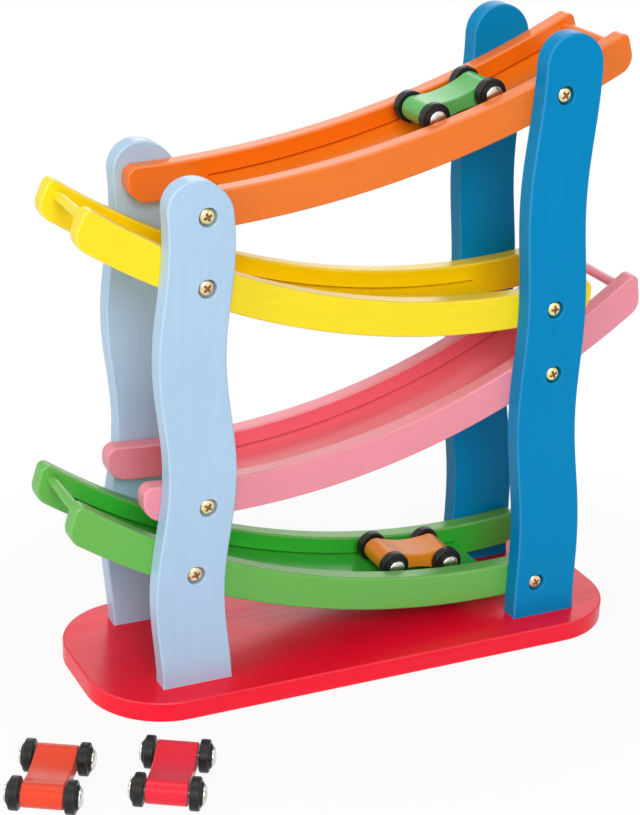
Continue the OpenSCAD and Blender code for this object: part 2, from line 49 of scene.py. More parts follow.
# Sizes of the toy, in millimetres in the part's own frame.
MM = 0.001
BASE_LENGTH, BASE_WIDTH, BASE_THICKNESS, BASE_CORNER = 250, 93.2, 9, 33.9
CHANNEL_HALF, RAIL_OUTER, UPRIGHT_OUTER = 17.5, 25.4, 34.3
UPRIGHT_WIDTH, UPRIGHT_TAPER, WAVE_PITCH, BOW_LENGTH = 31.1, 0.016, 101, 100
RAIL_HEIGHT, RAIL_CORNERS = 15.5, (9.2, 7.5, 3, 4.5)
FLOOR_DROP, FLOOR_THICKNESS, FLOOR_SETBACK, GROOVE_DEPTH, DROP_GAP = 8.1, 3, 12.9, 2, 34.7
DOWEL_R, DOWEL_INSET, DOWEL_DROP, DOWEL_SEAT = 2.15, 5.6, 4.8, 4
SCREW_HEAD_R, SCREW_HEAD_H, SCREW_R, SCREW_BITE, SCREW_POINT = 3.6, 2.3, 1.5, 5, 2
COUNTERBORE_R, COUNTERBORE_DEPTH = 4, 2.7
BASE_SCREW_HEAD_R, BASE_SCREW_R, BASE_SCREW_RECESS = 3.3, 1.7, 0.4
BASE_SCREW_BITE, BASE_SCREW_SPACING = 12, 15
WHEELBASE, BODY_HALF, BODY_END_R, BODY_WAIST = 27.1, 8.3, 5.2, 3.2
WHEEL_R, WHEEL_TREAD, HUB_R, HUB_HEIGHT, HUB_STEP, WHEEL_GAP = 6.7, 4, 5, 0.6, 0.4, 0.7
NAIL_R, NAIL_HEAD_R, NAIL_HEAD_H, NAIL_SEAT = 1, 3.8, 1.3, 6
SEAT_CLEARANCE, BORE_CLEARANCE, HEAD_CLEARANCE, ROLLING_GAP = 0.05, 0.08, 0.15, 0.25
# Height of the line that shows between a floor and the rail's groove.
FLOOR_LINE = 0.5
# Length over which the painted shade inside a ramp's channel begins at an end.
PAINTED_SHADE_FADE = 28
# Height over which the easing of an upright's edges begins above its square foot.
FOOT_FADE = 2
# How far the sanded edges of the boards, the holes' mouths and the small pieces' edges are rounded.
BASE_EASE, UPRIGHT_EASE, RAIL_EASE, FLOOR_EASE, BODY_EASE = 0.8, 0.9, 1.0, 0.35, 0.6
HOLE_EASE, COUNTERBORE_EASE, BASE_SCREW_EASE = 0.1, 0.3, 0.15
GROOVE_ROUND, FLOOR_ROUND, DOWEL_ROUND = 0.4, 0.5, 0.4
TREAD_ROUND, HUB_ROUND, STEP_FOOT_ROUND, STEP_ROUND = 0.8, 0.15, 0.1, 0.12
# Straight rim of a screw's or a nail's head, as a share of the head's height.
RIM_SHARE = 0.25
# Cross recess: half length and half width of an arm in head radii, height of its bottom in head heights.
CROSS_LENGTH, CROSS_WIDTH, CROSS_BOTTOM = 0.5, 0.13, 0.45
# Rings of the recess's bottom as shares of its mouth, and how steeply the bottom dips to the middle.
CROSS_RINGS, CROSS_DIP = (0.75, 0.4, 0.0), 0.25
# Tilt of the two cars on their ramps and heading of the two on the table, in degrees.
GREEN_CAR_TILT, ORANGE_CAR_TILT, TABLE_HEADING = 18.4, 5.1, 30
# Points along a ramp's arc, an upright's edge and crown, a corner of the base, a car's end and its hollow.
ARC_POINTS, EDGE_POINTS, CROWN_POINTS, CORNER_POINTS, END_POINTS, HOLLOW_POINTS = 97, 121, 49, 33, 37, 33
# Distance under which two points are one, distance to which a mesh is welded, and change of the normal that
# keeps two points in one place apart as a sharp corner.
SAME, WELD, SHARP = 1e-6, 1e-4, 0.3


class Outline:
    """A closed run of points in a board's plane, with the outward normal and the share of easing at each."""

    def __init__(self, points, normals, ease=None):
        self.points, self.normals = np.asarray(points, float), np.asarray(normals, float)
        self.ease = np.ones(len(self.points)) if ease is None else np.asarray(ease, float)

    def grown(self, growth):
        """The outline moved outwards along its normals."""
        return self.points + (growth * self.ease)[:, None] * self.normals

    def moved(self, shift, side=1):
        """The outline mirrored left to right where side is -1, and then shifted."""
        flip = np.array([side, 1])
        return Outline(self.points * flip + np.asarray(shift), self.normals * flip, self.ease)


def join(*runs):
    """Puts runs of an outline end to end, without a point that repeats its neighbour and its normal."""
    points = np.concatenate([run.points for run in runs])
    normals = np.concatenate([run.normals for run in runs])
    ease = np.concatenate([run.ease for run in runs])
    step = np.linalg.norm(points - np.roll(points, 1, 0), axis=1)
    turn = np.linalg.norm(normals - np.roll(normals, 1, 0), axis=1)
    keep = (step > SAME) | (turn > SHARP)
    return Outline(points[keep], normals[keep], ease[keep])


def arc(centre, radius, start, stop, count=9, outward=1):
    """Points centre + radius (cos, sin) of an angle that runs evenly from start to stop.

    The normals point away from the centre, or towards it where outward is -1.
    """
    angle = np.radians(np.linspace(start, stop, count))
    ray = np.stack([np.cos(angle), np.sin(angle)], 1)
    return Outline(np.asarray(centre, float) + radius * ray, outward * ray)


def circle(radius, centre=(0, 0), count=48):
    """A whole turn of an arc without its repeated last point."""
    ring = arc(centre, radius, 0, 360, count + 1)
    return Outline(ring.points[:-1], ring.normals[:-1])


def moulding(corners, per_quarter=6):
    """Rows of an edge profile from corners (growth, level, fillet): straight runs joined by fillets.

    Each row holds growth, level, the normal's two shares and how far the row lies inside a fillet.
    The normal stands to the right of the way along the profile. A corner with no fillet gives two rows.
    """
    corners = np.asarray(corners, float)
    way = np.diff(corners[:, :2], axis=0)
    way /= np.linalg.norm(way, axis=1)[:, None]
    out = np.stack([way[:, 1], -way[:, 0]], 1)
    rows = [np.array([[*corners[0, :2], *out[0], 0]])]
    for (growth, level, fillet), into, leave, normal in zip(corners[1:-1], way, way[1:], out):
        turn = np.arctan2(into[0] * leave[1] - into[1] * leave[0], into @ leave)
        steps = int(np.ceil(per_quarter * abs(turn) / (np.pi / 2))) if fillet > 0 else 1
        spread = np.linspace(0, 1, steps + 1)
        start = np.arctan2(normal[1], normal[0])
        ray = np.stack([np.cos(start + turn * spread), np.sin(start + turn * spread)], 1)
        bend = np.sign(turn) * fillet
        middle = np.array([growth, level]) - into * abs(np.tan(turn / 2)) * fillet - bend * normal
        rows.append(np.column_stack([middle + bend * ray, ray, (fillet > 0) * np.sin(np.pi * spread)]))
    rows.append(np.array([[*corners[-1, :2], *out[-1], 0]]))
    return np.concatenate(rows)


def dome(radius, base, height, count=10):
    """Rows of a round crown: growth radius cos a, level base + height sin a and the ellipse's normals."""
    a = np.linspace(0, np.pi / 2, count)
    normal = np.stack([np.cos(a) / radius, np.sin(a) / height], 1)
    normal /= np.linalg.norm(normal, axis=1)[:, None]
    return np.column_stack([radius * np.cos(a), base + height * np.sin(a), normal, np.zeros(count)])


class Shell:
    """Gathers the patches of one piece and welds them to a closed mesh, in which each keeps its normals.

    A patch is drawn as (across, level, up): a board's outline lies in the first and third direction, and
    its thickness along the second. turn and shift then put it where the piece is. The last argument gives
    the share of painted shade from the place along the first direction: a fuller, more saturated tone that
    stands in for the shade and bounced light inside a ramp's channel.
    """

    def __init__(self, turn=None, shift=(0, 0, 0), deep=np.zeros_like):
        self.patches = []
        self.deep = deep
        self.at(turn, shift)

    def at(self, turn=None, shift=(0, 0, 0)):
        """Places the patches that follow."""
        self.turn = np.eye(3) if turn is None else np.asarray(turn, float)
        self.shift = np.asarray(shift, float)
        return self

    def patch(self, points, normals, faces, edge):
        """Keeps a patch, turned and shifted to its place."""
        drawn = points.reshape(-1, 3)
        placed, outward = drawn @ self.turn.T + self.shift, normals.reshape(-1, 3) @ self.turn.T
        self.patches.append((placed, outward, faces, np.ravel(edge), self.deep(drawn[:, 0])))

    def grid(self, points, normals, edge):
        """Rows round a closed loop, joined by quads to the next row, and the last column to the first."""
        rows, count = points.shape[:2]
        index = np.arange(rows * count).reshape(rows, count)
        after = np.roll(index, -1, 1)
        quads = np.stack([index[:-1], after[:-1], after[1:], index[1:]], -1).reshape(-1, 4)
        self.patch(points, normals, quads, edge)

    def carry(self, outline, rows):
        """A profile carried along an outline: growth along the normal in its plane, level across it."""
        growth, level, out, across, edge = (rows[:, k][:, None] for k in range(5))
        flat = outline.points[None] + (growth * outline.ease)[..., None] * outline.normals[None]
        points = np.stack([flat[..., 0], level + 0 * flat[..., 0], flat[..., 1]], -1)
        spin = out[..., None] * outline.normals[None]
        normals = np.stack([spin[..., 0], across + 0 * spin[..., 0], spin[..., 1]], -1)
        self.grid(points, normals, edge * outline.ease)

    def fill(self, loops, level, sign):
        """The flat face between an outer loop and its holes' loops, cut into triangles on their own points.

        A triangle stays where a ray from its middle crosses the loops an odd number of times.
        """
        sizes = [len(loop) for loop in loops]
        index = np.split(np.arange(sum(sizes)), np.cumsum(sizes)[:-1])
        edges = np.concatenate([np.stack([i, np.roll(i, -1)], 1) for i in index])
        corners = np.concatenate(loops)
        found = delaunay_2d_cdt(corners.tolist(), edges.tolist(), [], 1, SAME)
        flat, faces = np.array([tuple(p) for p in found[0]]), np.array(found[2])
        x, y = flat[faces].mean(1)[:, :, None].transpose(1, 0, 2)
        (x0, y0), (x1, y1) = corners[edges[:, 0]].T, corners[edges[:, 1]].T
        spans = (y0 > y) != (y1 > y)
        right_of = x < x0 + (y - y0) * (x1 - x0) / np.where(y1 == y0, 1, y1 - y0)
        faces = faces[(spans & right_of).sum(1) % 2 == 1]
        points = np.stack([flat[:, 0], np.full(len(flat), level, float), flat[:, 1]], 1)
        normals = np.tile([0.0, sign, 0.0], (len(points), 1))
        self.patch(points, normals, np.column_stack([faces, faces[:, 0]]), np.zeros(len(points)))

    def mesh(self, name):
        """Welds equal points, drops what has collapsed and turns each face to its own normals."""
        start = np.cumsum([0, *(len(p[0]) for p in self.patches[:-1])])
        points, normals, edge, deep = (np.concatenate([p[k] for p in self.patches]) for k in (0, 1, 3, 4))
        faces = np.concatenate([p[2] + s for p, s in zip(self.patches, start)])
        _, first, weld = np.unique(np.round(points / WELD).astype(np.int64), axis=0,
                                   return_index=True, return_inverse=True)
        weld = weld.ravel()
        corner = weld[faces]
        a, b, c, d = (points[faces[:, k]] for k in range(4))
        narrow = (faces[:, 3] == faces[:, 0])[:, None]
        across = np.where(narrow, np.cross(b - a, c - a), np.cross(c - a, d - b))
        back = np.einsum("ij,ij->i", across, normals[faces].sum(1)) < 0
        faces[back], corner[back] = faces[back][:, ::-1], corner[back][:, ::-1]
        keep = corner != np.roll(corner, 1, 1)
        whole = keep.sum(1) > 2
        keep, corner, faces = keep[whole], corner[whole], faces[whole]
        mesh = bpy.data.meshes.new(name)
        mesh.vertices.add(len(first))
        mesh.vertices.foreach_set("co", (points[first] * MM).astype(np.float32).ravel())
        mesh.loops.add(int(keep.sum()))
        mesh.loops.foreach_set("vertex_index", corner[keep].astype(np.int32))
        mesh.polygons.add(len(corner))
        mesh.polygons.foreach_set("loop_start", np.cumsum([0, *keep.sum(1)[:-1]]).astype(np.int32))
        mesh.update(calc_edges=True)
        mesh.shade_smooth()
        mesh.normals_split_custom_set(normals[faces[keep]].tolist())
        # Marks: how far a point lies in a rounded edge, and its share of painted shade for a ramp's channel.
        for mark, value in (("edge", edge), ("deep", deep)):
            most = np.zeros(len(first), np.float32)
            np.maximum.at(most, weld, value.astype(np.float32))
            mesh.attributes.new(mark, "FLOAT", "POINT").data.foreach_set("value", most)
        return mesh

    def piece(self, name, node):
        """Makes the piece, which rides with its node's body, stands for the node and takes its finish."""
        thing = bpy.data.objects.new(name, self.mesh(name))
        bpy.context.scene.collection.objects.link(thing)
        thing.data.materials.append(FINISHES[SLOT_OF[node]])
        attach(thing, BODY_OF[node])
        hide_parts(node)


def board(shell, outline, low, high, ease, holes=(), deep=None):
    """A board from level low to high: its outline carried through a rounded edge, its faces filled.

    A hole is an outline and the rows that it is carried along, from the high face inwards or out to the
    low face. The last argument gives the share of painted shade on the high face: a fuller, more saturated
    tone for the shade inside a ramp's channel.
    """
    rim = moulding([(-2 * ease, low, 0), (0, low, ease), (0, high, ease), (-2 * ease, high, 0)])[1:-1]
    shell.carry(outline, rim)
    faces = {low: [outline.grown(-ease)], high: [outline.grown(-ease)]}
    for hole, rows in holes:
        shell.carry(hole, rows)
        for row, sign in ((rows[0], -1), (rows[-1], 1)):
            face = next((level for level in faces if abs(level - row[1]) < SAME), None)
            if face is None:
                shell.fill([hole.grown(row[0])], row[1], sign)
            else:
                faces[face].append(hole.grown(row[0]))
    shell.fill(faces[low], low, -1)
    # The high face takes the painted shade of the channel, where one is given.
    shell.deep = deep or shell.deep
    shell.fill(faces[high], high, 1)


def sunk(outline, face, bottom):
    """A hole straight in from a face to a flat bottom, with its mouth eased."""
    depth = abs(bottom - face)
    rows = moulding([(2 * HOLE_EASE, face, 0), (0, face, HOLE_EASE), (0, face - depth, 0)])[1:]
    if bottom > face:
        rows = rows[::-1] * np.array([1, -1, 1, -1, 1])
        rows[:, 1] += 2 * face
    return outline, rows


def direction(degrees):
    """Unit vector at an angle."""
    return np.array([np.cos(np.radians(degrees)), np.sin(np.radians(degrees))])


class Ramp:
    """A ramp's arcs share one centre. Its u runs from the lowest point to the high end, its v upwards."""

    def __init__(self, radius, dip_x, height, low_x, high_x, slant):
        self.radius, self.dip, self.slant = radius, np.array([dip_x, BASE_THICKNESS + height]), slant
        self.side = np.sign(high_x - low_x)
        self.low, self.high = self.side * (low_x - dip_x), self.side * (high_x - dip_x)
        self.top = radius - RAIL_HEIGHT
        self.floor = self.top + FLOOR_DROP
        self.floor_low, self.floor_high = self.low + DROP_GAP, self.high - FLOOR_SETBACK

    def height(self, radius, u):
        """Height of a circle about the arc's centre over the lowest point."""
        return self.radius - np.sqrt(radius ** 2 - u ** 2)

    def next_up(self, gap, radius, dip_x, low_x, high_x, slant):
        """The ramp stacked on this one: its dip stands a gap over the top of these rails at its low end."""
        top = self.dip[1] - BASE_THICKNESS + self.height(self.top, low_x - self.dip[0])
        return Ramp(radius, dip_x, top + gap, low_x, high_x, slant)

    def slab(self, inner, outer, low, high, rounds, slant=0):
        """Side outline between two arcs, with rounds at its low bottom, high bottom, high top and low top.

        The low end is upright. The high end passes through u = high at half height and leans in by slant
        degrees. A round's centre lies its radius inside an end, on a circle about the arcs' centre.
        """
        out, up, middle = direction(slant), direction(slant + 90), np.array([0, self.radius])
        half_way = np.array([high, self.height((inner + outer) / 2, high)]) - middle

        def low_centre(path, r):
            return np.array([low + r, self.height(path, low + r)])

        def high_centre(path, r):
            start = half_way - r * out
            fall = -start @ up
            return middle + start + (fall - np.sqrt(fall ** 2 - start @ start + path ** 2)) * up

        def bearing(centre):
            return np.degrees(np.arctan2(centre[1] - self.radius, centre[0]))
        a, b = low_centre(outer - rounds[0], rounds[0]), high_centre(outer - rounds[1], rounds[1])
        c, d = high_centre(inner + rounds[2], rounds[2]), low_centre(inner + rounds[3], rounds[3])
        return join(
            arc(a, rounds[0], -180, bearing(a)),
            arc(middle, outer, bearing(a), bearing(b), ARC_POINTS),
            arc(b, rounds[1], bearing(b), slant),
            arc(c, rounds[2], slant, 180 + bearing(c)),
            arc(middle, inner, bearing(c), bearing(d), ARC_POINTS, outward=-1),
            arc(d, rounds[3], 180 + bearing(d), 180)).moved(self.dip, self.side)

    def painted_channel_shade(self, x):
        """Share of painted shade on the rails' inner faces at x, for the shade inside the channel; it fades
        towards both ends.
        """
        u = self.side * (x - self.dip[0])
        return np.clip(np.minimum(u - self.low, self.high - u) / PAINTED_SHADE_FADE, 0, 1)

    def dowel(self):
        """Place of the stop dowel's axis."""
        u = self.high - DOWEL_INSET
        return self.dip + np.array([self.side * u, self.height(self.top + DOWEL_DROP, u)])

    def screw_height(self, x, rise):
        """Height at x of a screw that lies by its rise over the rails' lower edge."""
        return self.dip[1] + self.height(self.radius - rise, x - self.dip[0])


GREEN_RAMP = Ramp(radius=347, dip_x=63.3, height=8, low_x=102.5, high_x=-134.7, slant=16)
PINK_RAMP = GREEN_RAMP.next_up(gap=3.5, radius=333, dip_x=-72.3, low_x=-104.5, high_x=126.9, slant=9)
YELLOW_RAMP = PINK_RAMP.next_up(gap=-3, radius=340, dip_x=55.5, low_x=102.2, high_x=-131.3, slant=23)
ORANGE_RAMP = YELLOW_RAMP.next_up(gap=4.7, radius=479, dip_x=-106.9, low_x=-95.8, high_x=110.6, slant=18)
RAMPS = {"orange": ORANGE_RAMP, "yellow": YELLOW_RAMP, "pink": PINK_RAMP, "green": GREEN_RAMP}
# An upright's foot, lean, bow, wave depth, lowest wave crest and height over the orange ramp's dip.
Upright = namedtuple("Upright", "foot lean bow depth crest rise")
UPRIGHTS = {
    "left": Upright(foot=-85.1, lean=0.019, bow=-1.4, depth=2.3, crest=-7, rise=24.1),
    "right": Upright(foot=87.8, lean=-0.094, bow=2, depth=1.4, crest=44.6, rise=71.2),
}
# A screw's way off the upright's middle line, its rise over the rails' lower edge and its recess's turn.
Screw = namedtuple("Screw", "offset rise turn")
# Each upright's screws from the top ramp down.
SCREWS = {
    "left": (Screw(2.8, 8.4, 25), Screw(3.2, 7.9, 45), Screw(3.2, 8, 55), Screw(2, 8.8, 20)),
    "right": (Screw(-3.4, 9, 40), Screw(-0.8, 9.1, 2), Screw(1.4, 6.6, 25), Screw(-4.7, 8, 30)),
}


def upright_middle(side, h):
    """Middle line of an upright at height h: a lean, a slight bow and a wave."""
    upright = UPRIGHTS[side]
    wave = upright.depth * np.cos(2 * np.pi * (h - upright.crest) / WAVE_PITCH)
    return upright.foot + upright.lean * h + upright.bow * (h / BOW_LENGTH) ** 2 + wave


def upright_outline(side):
    """Wavy edges half a width to each side of the middle line, a round top and a square, sharp foot.

    The width falls evenly with the height. The middle line runs on through the round top.
    """
    top = ORANGE_RAMP.dip[1] - BASE_THICKNESS + UPRIGHTS[side].rise
    shoulder = (top - UPRIGHT_WIDTH / 2) / (1 - UPRIGHT_TAPER / 2)
    h = np.linspace(0, shoulder, EDGE_POINTS)
    middle, half = upright_middle(side, h), (UPRIGHT_WIDTH - UPRIGHT_TAPER * h) / 2
    ease = np.clip(h / FOOT_FADE, 0, 1)

    def edge(hand):
        slope = np.gradient(middle + hand * half, h)
        normal = hand * np.stack([np.ones_like(h), -slope], 1) / np.hypot(1, slope)[:, None]
        return Outline(np.stack([middle + hand * half, h], 1)[::hand], normal[::hand], ease[::hand])
    right, left = edge(1), edge(-1)
    foot = Outline([left.points[-1], right.points[0]], [[0, -1], [0, -1]], [0, 0])
    turn = np.linspace(0, np.pi, CROWN_POINTS)
    rise = shoulder + half[-1] * np.sin(turn)
    crown = np.stack([upright_middle(side, rise) + half[-1] * np.cos(turn), rise], 1)
    across, up = np.gradient(crown, axis=0).T
    outward = np.stack([up, -across], 1) / np.hypot(across, up)[:, None]
    return join(foot, right, Outline(crown, outward), left).moved((0, BASE_THICKNESS))


def screw_places(side):
    """Place of each ramp's screw on an upright, from its way off the middle line and its rise."""
    places = []
    for ramp, screw in zip(RAMPS.values(), SCREWS[side]):
        level = ramp.screw_height(UPRIGHTS[side].foot, screw.rise) - BASE_THICKNESS
        x = upright_middle(side, level) + screw.offset
        places.append((x, ramp.screw_height(x, screw.rise)))
    return places


def base_screw_places():
    """Place of every base screw: two in each foot, half their spacing to each side of its middle."""
    middle = (RAIL_OUTER + UPRIGHT_OUTER) / 2
    return [(upright_middle(side, 0) + shift * BASE_SCREW_SPACING / 2, depth * middle)
            for side in UPRIGHTS for shift in (-1, 1) for depth in (-1, 1)]


MIRROR_Y = np.diag([1.0, -1.0, 1.0])
LYING = np.array([[1.0, 0, 0], [0, 0, 1], [0, 1, 0]])
# A ring of outward normals about an axis, for turned pieces and for those that are seen from near.
AXIS, FINE_AXIS = circle(0, count=64), circle(0, count=96)


def base_board():
    """A rounded rectangle carried through an eased edge, with countersunk holes up from its underside."""
    x, y = BASE_LENGTH / 2 - BASE_CORNER, BASE_WIDTH / 2 - BASE_CORNER
    outline = join(*(arc(c, BASE_CORNER, a, a + 90, CORNER_POINTS) for c, a in
                     (((x, -y), -90), ((x, y), 0), ((-x, y), 90), ((-x, -y), 180))))
    head, shank = BASE_SCREW_HEAD_R + SEAT_CLEARANCE, BASE_SCREW_R + SEAT_CLEARANCE
    step = shank - head
    rows = moulding([(step, BASE_THICKNESS, 0), (step, BASE_SCREW_RECESS - step, 0),
                     (0, BASE_SCREW_RECESS, 0), (0, 0, BASE_SCREW_EASE), (2 * BASE_SCREW_EASE, 0, 0)])[:-1]
    shell = Shell(LYING)
    board(shell, outline, 0, BASE_THICKNESS, BASE_EASE,
          [(circle(head, place), rows) for place in base_screw_places()])
    return shell


def upright_board(side, depth):
    """The wavy outline carried through an eased edge, with a counterbored hole for each screw."""
    hole, seat = SCREW_R + SEAT_CLEARANCE - COUNTERBORE_R, COUNTERBORE_DEPTH - UPRIGHT_OUTER
    rows = moulding([(hole, -RAIL_OUTER, 0), (hole, seat, 0), (0, seat, 0),
                     (0, -UPRIGHT_OUTER, COUNTERBORE_EASE), (2 * COUNTERBORE_EASE, -UPRIGHT_OUTER, 0)])[:-1]
    shell = Shell(MIRROR_Y if depth > 0 else None)
    board(shell, upright_outline(side), -UPRIGHT_OUTER, -RAIL_OUTER, UPRIGHT_EASE,
          [(circle(COUNTERBORE_R, place), rows) for place in screw_places(side)])
    return shell


def rail_board(ramp, depth):
    """A curved slab with a groove for the floor, a hole for the dowel and pilot holes for the screws."""
    gap = 2 * SEAT_CLEARANCE
    outline = ramp.slab(ramp.top, ramp.radius, ramp.low, ramp.high, RAIL_CORNERS, ramp.slant)
    groove = ramp.slab(ramp.floor - FLOOR_LINE, ramp.floor + FLOOR_THICKNESS + gap, ramp.floor_low - gap,
                       ramp.floor_high + gap, [GROOVE_ROUND] * 4)
    socket = circle(DOWEL_R + SEAT_CLEARANCE, ramp.dowel())
    row = list(RAMPS.values()).index(ramp)
    pilots = [circle(SCREW_R + SEAT_CLEARANCE, screw_places(side)[row]) for side in UPRIGHTS]
    holes = [sunk(groove, -CHANNEL_HALF, -CHANNEL_HALF - GROOVE_DEPTH),
             sunk(socket, -CHANNEL_HALF, -CHANNEL_HALF - DOWEL_SEAT),
             *(sunk(pilot, -RAIL_OUTER, SCREW_BITE + SEAT_CLEARANCE - RAIL_OUTER) for pilot in pilots)]
    shell = Shell(MIRROR_Y if depth > 0 else None)
    # The inner face takes painted shade for the channel, fading towards the ends.
    board(shell, outline, -RAIL_OUTER, -CHANNEL_HALF, RAIL_EASE, holes, ramp.painted_channel_shade)
    return shell


def floor_board(ramp):
    """A thin curved slab whose long edges lie in the rails' grooves."""
    reach = CHANNEL_HALF + GROOVE_DEPTH - 2 * SEAT_CLEARANCE
    outline = ramp.slab(ramp.floor, ramp.floor + FLOOR_THICKNESS, ramp.floor_low, ramp.floor_high,
                        [FLOOR_ROUND] * 4)
    # Every face of the floor takes the full painted shade of the channel.
    shell = Shell(deep=np.ones_like)
    board(shell, outline, -reach, reach, FLOOR_EASE)
    return shell


def stop_dowel(ramp):
    """A round pin: a profile with eased ends turned about the dowel's axis."""
    reach = CHANNEL_HALF + DOWEL_SEAT - SEAT_CLEARANCE
    x, z = ramp.dowel()
    shell = Shell(shift=(x, 0, z))
    shell.carry(AXIS, moulding([(0, -reach, 0), (DOWEL_R, -reach, DOWEL_ROUND),
                                (DOWEL_R, reach, DOWEL_ROUND), (0, reach, 0)]))
    return shell


def ring_normals(points):
    """Normals of a ring grid: cross product of its steps along and across, turned to the level's side."""
    normal = np.cross(np.roll(points, -1, 1) - np.roll(points, 1, 1), np.gradient(points, axis=0))
    normal *= np.where(normal[..., 1:2] < 0, -1, 1)
    return normal / np.maximum(np.linalg.norm(normal, axis=-1, keepdims=True), 1e-12)


def ring_points(radius, level, angle):
    """Points at a radius and an angle about the axis, at a level along it."""
    return np.stack([radius * np.cos(angle), level + 0 * radius, radius * np.sin(angle)], -1)


def cross_recess(angle, length, width, turn, sharpness=10):
    """Edge of a cross in polar form.

    It is a smooth least of length / cos and width / sin of the angle from the nearest arm.
    """
    fold = np.radians(np.abs((np.degrees(angle) + 45 - turn) % 90 - 45))
    end, flank = length / np.cos(fold), width / np.maximum(np.sin(fold), 0.01)
    return (end ** -sharpness + flank ** -sharpness) ** (-1 / sharpness)


def cross_screw(shell, turn):
    """A screw with its head's seat at level 0: point, shank and rim are turned about its axis.

    The crown is an ellipse in rings that run from the head's rim to the mouth of a cross recess.
    """
    shank, rim = UPRIGHT_OUTER - RAIL_OUTER - COUNTERBORE_DEPTH + SCREW_BITE, RIM_SHARE * SCREW_HEAD_H
    shell.carry(FINE_AXIS, moulding([
        (0, -shank, 0), (SCREW_R / 2, -shank, 0), (SCREW_R, SCREW_POINT - shank, 0),
        (SCREW_R, 0, 0), (SCREW_HEAD_R, 0, 0), (SCREW_HEAD_R, rim, 0)]))
    angle = np.arctan2(FINE_AXIS.normals[:, 1], FINE_AXIS.normals[:, 0])[None]
    mouth = cross_recess(angle, CROSS_LENGTH * SCREW_HEAD_R, CROSS_WIDTH * SCREW_HEAD_R, turn)
    crown, bottom = SCREW_HEAD_H - rim, CROSS_BOTTOM * SCREW_HEAD_H

    def crown_level(r):
        return rim + crown * np.sqrt(np.maximum(0, 1 - (r / SCREW_HEAD_R) ** 2))
    spread = np.sin(np.linspace(0, np.pi / 2, 10))[:, None]
    radius = mouth + (SCREW_HEAD_R - mouth) * spread
    points = ring_points(radius, crown_level(radius), angle)
    normals = np.stack([radius * np.cos(angle) / SCREW_HEAD_R ** 2, (points[..., 1] - rim) / crown ** 2,
                        radius * np.sin(angle) / SCREW_HEAD_R ** 2], -1)
    normals /= np.linalg.norm(normals, axis=-1, keepdims=True)
    shell.grid(points, normals, np.zeros(points.shape[:2]))
    foot = CROSS_RINGS[0] * mouth
    wall = np.concatenate([ring_points(mouth, crown_level(mouth), angle),
                           ring_points(foot, bottom + 0 * foot, angle)])
    share = np.array(CROSS_RINGS)[:, None]
    pit = ring_points(share * mouth, bottom - CROSS_DIP * (CROSS_RINGS[0] - share) + 0 * mouth, angle)
    for rings in (wall, pit):
        shell.grid(rings, ring_normals(rings), np.ones(rings.shape[:2]))


def ramp_screws(side, depth):
    """One cross-head screw in each counterbore of an upright."""
    shell = Shell()
    for (x, z), screw in zip(screw_places(side), SCREWS[side]):
        shell.at(MIRROR_Y if depth < 0 else None, (x, depth * (UPRIGHT_OUTER - COUNTERBORE_DEPTH), z))
        cross_screw(shell, screw.turn)
    return shell


def base_screws():
    """Countersunk screws, each a profile turned about its axis: flat head below, cone, shank and point."""
    length = BASE_THICKNESS + BASE_SCREW_BITE
    neck = BASE_SCREW_RECESS + BASE_SCREW_HEAD_R - BASE_SCREW_R
    rows = moulding([(0, BASE_SCREW_RECESS, 0), (BASE_SCREW_HEAD_R, BASE_SCREW_RECESS, BASE_SCREW_EASE),
                     (BASE_SCREW_R, neck, 0), (BASE_SCREW_R, length - SCREW_POINT, 0), (0, length, 0)])
    shell = Shell()
    for x, y in base_screw_places():
        shell.at(LYING, (x, y, 0)).carry(AXIS, rows)
    return shell


def turned(degrees, axis):
    """Turn about an axis of the frame."""
    return np.array(Matrix.Rotation(np.radians(degrees), 3, axis))


def car_on_ramp(ramp, angle):
    """Turn and shift of a car whose axles lie on one circle about the ramp's centre, heading downhill."""
    axle = ramp.floor - ROLLING_GAP - WHEEL_R
    chord = np.sqrt(axle ** 2 - (WHEELBASE / 2) ** 2)
    tilt = turned(-ramp.side * angle, "Y")
    centre = np.array([ramp.dip[0], 0, ramp.dip[1] + ramp.radius])
    return tilt @ turned(180 if ramp.side > 0 else 0, "Z"), centre + tilt @ np.array([0, 0, -chord])


def car_on_table(x, y):
    """Turn and shift of a car that stands on the table."""
    return turned(90 - TABLE_HEADING, "Z"), np.array([x, y, WHEEL_R])


CARS = {
    "green": car_on_ramp(ORANGE_RAMP, GREEN_CAR_TILT),
    "orange": car_on_ramp(GREEN_RAMP, ORANGE_CAR_TILT),
    "coral": car_on_table(-161.6, -75),
    "red": car_on_table(-116.8, -90.5),
}
# The four corners of a car: front or rear, and left or right of it.
AXLES = [(end, flank) for end in (-1, 1) for flank in (-1, 1)]


def car_block(car):
    """Round ends joined by hollow arcs that touch them, carried across the body, with the nails' holes."""
    half = WHEELBASE / 2
    hollow = (half ** 2 + BODY_WAIST ** 2 - BODY_END_R ** 2) / (2 * (BODY_END_R - BODY_WAIST))
    rise = BODY_WAIST + hollow
    meet = np.degrees(np.arctan2(half, rise))
    outline = join(
        arc((half, 0), BODY_END_R, -90 - meet, 90 + meet, END_POINTS),
        arc((0, rise), hollow, 270 + meet, 270 - meet, HOLLOW_POINTS, outward=-1),
        arc((-half, 0), BODY_END_R, 90 - meet, 270 + meet, END_POINTS),
        arc((0, -rise), hollow, 90 + meet, 90 - meet, HOLLOW_POINTS, outward=-1))
    bottom = BODY_HALF - NAIL_SEAT - SEAT_CLEARANCE
    holes = [sunk(circle(NAIL_R + SEAT_CLEARANCE, (end * half, 0), 32), flank * BODY_HALF, flank * bottom)
             for end, flank in AXLES]
    shell = Shell(*CARS[car])
    board(shell, outline, -BODY_HALF, BODY_HALF, BODY_EASE, holes)
    return shell


